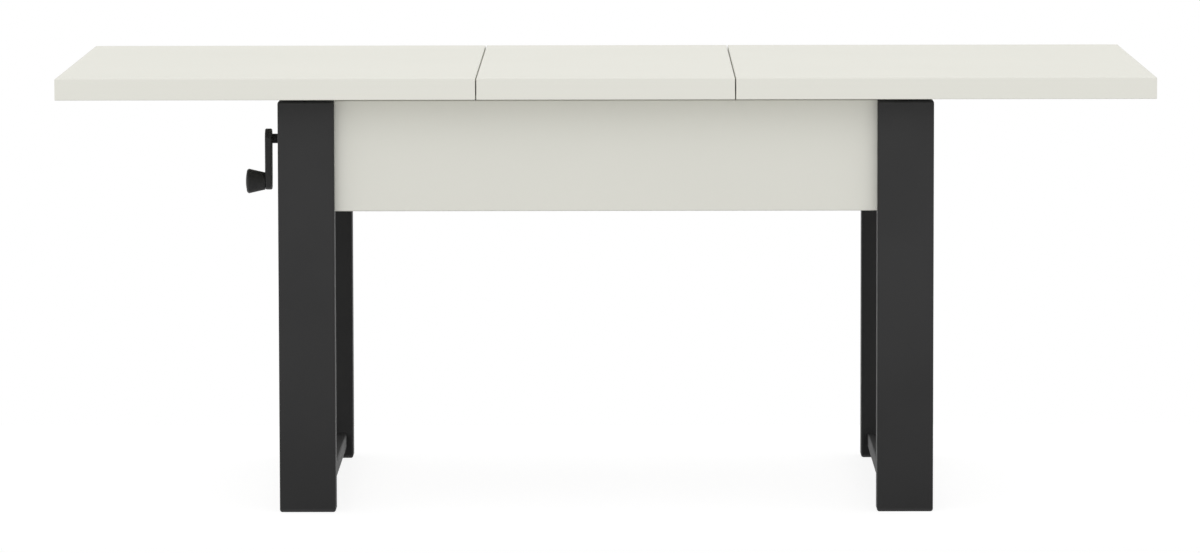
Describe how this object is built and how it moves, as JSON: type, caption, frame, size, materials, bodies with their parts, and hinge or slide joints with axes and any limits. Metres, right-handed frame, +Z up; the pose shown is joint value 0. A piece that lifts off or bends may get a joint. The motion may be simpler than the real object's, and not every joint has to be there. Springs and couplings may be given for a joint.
{
  "type": "convertible coffee dining table",
  "caption": "Crank-lift coffee table that rises to dining height, with an extending top, a loose middle leaf, a deep apron box and flat metal sled legs.",
  "frame": {"origin": "on the floor under the middle of the table top, lowered and with the leaf in place", "axes": "+X along the table to the end without the crank, -Y to the front as pictured, +Z up"},
  "size_m": [1.44, 0.7, 0.576],
  "materials": {
    "top_laminate": "matte",
    "box_laminate": "matte",
    "raw_board": "matte",
    "leg_paint": "matte",
    "black_plastic": "satin",
    "zinc_plate": "satin",
    "dark_plate": "matte",
    "shaft_steel": "satin",
    "gear_steel": "satin",
    "bronze": "satin",
    "rail_alloy": "satin",
    "runner_alloy": "satin"
  },
  "bodies": {
    "base": {"leg_front_left": "leg_paint", "leg_front_right": "leg_paint", "leg_rear_left": "leg_paint", "leg_rear_right": "leg_paint", "foot_glides": "black_plastic", "leg_collars": "black_plastic", "stretcher_left": "leg_paint", "stretcher_right": "leg_paint", "apron_front": "box_laminate", "apron_rear": "box_laminate", "end_panel_left": "box_laminate", "end_panel_right": "box_laminate", "crossbar_left": "raw_board", "crossbar_right": "raw_board", "corner_brackets": "zinc_plate", "board_screws": "zinc_plate", "shaft_hangers": "zinc_plate", "shaft_bushes": "black_plastic", "screw_bearings": "zinc_plate"},
    "crank": {"crank_shaft": "dark_plate", "crank_gear": "gear_steel", "crank_arm": "black_plastic", "crank_grub_screw": "dark_plate", "knob_pin": "shaft_steel"},
    "crank_knob": {"knob": "black_plastic"},
    "left_cross_shaft": {"cross_shaft_left": "shaft_steel", "cross_gears_left": "gear_steel"},
    "main_drive_shaft": {"main_shaft": "shaft_steel", "main_gears": "gear_steel"},
    "right_cross_shaft": {"cross_shaft_right": "shaft_steel", "cross_gears_right": "gear_steel"},
    "screw_front_left": {"lead_screw_front_left": "shaft_steel", "screw_gear_front_left": "gear_steel"},
    "screw_front_right": {"lead_screw_front_right": "shaft_steel", "screw_gear_front_right": "gear_steel"},
    "screw_rear_left": {"lead_screw_rear_left": "shaft_steel", "screw_gear_rear_left": "gear_steel"},
    "screw_rear_right": {"lead_screw_rear_right": "shaft_steel", "screw_gear_rear_right": "gear_steel"},
    "lift_frame": {"lift_post_front_left": "leg_paint", "lift_post_front_right": "leg_paint", "lift_post_rear_left": "leg_paint", "lift_post_rear_right": "leg_paint", "nut_carriers": "zinc_plate", "lead_nuts": "bronze", "bridge_left": "dark_plate", "bridge_right": "dark_plate", "slide_rail_front": "rail_alloy", "slide_rail_rear": "rail_alloy", "rail_screws": "zinc_plate"},
    "left_half": {"top_half_left": "top_laminate", "runner_left_front": "runner_alloy", "runner_left_rear": "runner_alloy", "runner_screws_left": "zinc_plate"},
    "right_half": {"top_half_right": "top_laminate", "runner_right_front": "runner_alloy", "runner_right_rear": "runner_alloy", "runner_screws_right": "zinc_plate"},
    "leaf": {"top_leaf": "top_laminate"}
  },
  "joints": [
    {"name": "crank_turn", "type": "hinge", "parent": "base", "child": "crank", "pos_m": [-0.4, 0, 0.4715], "axis": [1, 0, 0], "range_deg": [0, 13680]},
    {"name": "knob_spin", "type": "hinge", "parent": "crank", "child": "crank_knob", "pos_m": [-0.477, 0, 0.4135], "axis": [1, 0, 0], "continuous": true},
    {"name": "left_cross_turn", "type": "hinge", "parent": "base", "child": "left_cross_shaft", "pos_m": [-0.38, 0, 0.4715], "axis": [0, 1, 0], "range_deg": [-13680, 0]},
    {"name": "main_shaft_turn", "type": "hinge", "parent": "base", "child": "main_drive_shaft", "pos_m": [0, 0, 0.4715], "axis": [1, 0, 0], "range_deg": [-13680, 0]},
    {"name": "right_cross_turn", "type": "hinge", "parent": "base", "child": "right_cross_shaft", "pos_m": [0.38, 0, 0.4715], "axis": [0, 1, 0], "range_deg": [-13680, 0]},
    {"name": "screw_turn_front_left", "type": "hinge", "parent": "base", "child": "screw_front_left", "pos_m": [-0.38, -0.29, 0.4715], "axis": [0, 0, 1], "range_deg": [-13680, 0]},
    {"name": "screw_turn_front_right", "type": "hinge", "parent": "base", "child": "screw_front_right", "pos_m": [0.38, -0.29, 0.4715], "axis": [0, 0, 1], "range_deg": [-13680, 0]},
    {"name": "screw_turn_rear_left", "type": "hinge", "parent": "base", "child": "screw_rear_left", "pos_m": [-0.38, 0.29, 0.4715], "axis": [0, 0, 1], "range_deg": [0, 13680]},
    {"name": "screw_turn_rear_right", "type": "hinge", "parent": "base", "child": "screw_rear_right", "pos_m": [0.38, 0.29, 0.4715], "axis": [0, 0, 1], "range_deg": [0, 13680]},
    {"name": "lift_slide", "type": "slide", "parent": "base", "child": "lift_frame", "axis": [0, 0, 1], "range_m": [0, 0.19]},
    {"name": "left_half_slide", "type": "slide", "parent": "lift_frame", "child": "left_half", "axis": [-1, 0, 0], "range_m": [0, 0.025]},
    {"name": "right_half_slide", "type": "slide", "parent": "lift_frame", "child": "right_half", "axis": [1, 0, 0], "range_m": [0, 0.025]},
    {"name": "leaf_lift", "type": "slide", "parent": "lift_frame", "child": "leaf", "axis": [0, 0, 1], "range_m": [0, 0.15]}
  ],
  "couplings": [
    {"joint": "crank_turn", "follows": "lift_slide", "rad_per_m": 1256.6},
    {"joint": "left_cross_turn", "follows": "lift_slide", "rad_per_m": -1256.6},
    {"joint": "main_shaft_turn", "follows": "lift_slide", "rad_per_m": -1256.6},
    {"joint": "right_cross_turn", "follows": "lift_slide", "rad_per_m": -1256.6},
    {"joint": "screw_turn_front_left", "follows": "lift_slide", "rad_per_m": -1256.6},
    {"joint": "screw_turn_front_right", "follows": "lift_slide", "rad_per_m": -1256.6},
    {"joint": "screw_turn_rear_left", "follows": "lift_slide", "rad_per_m": 1256.6},
    {"joint": "screw_turn_rear_right", "follows": "lift_slide", "rad_per_m": 1256.6}
  ]
}
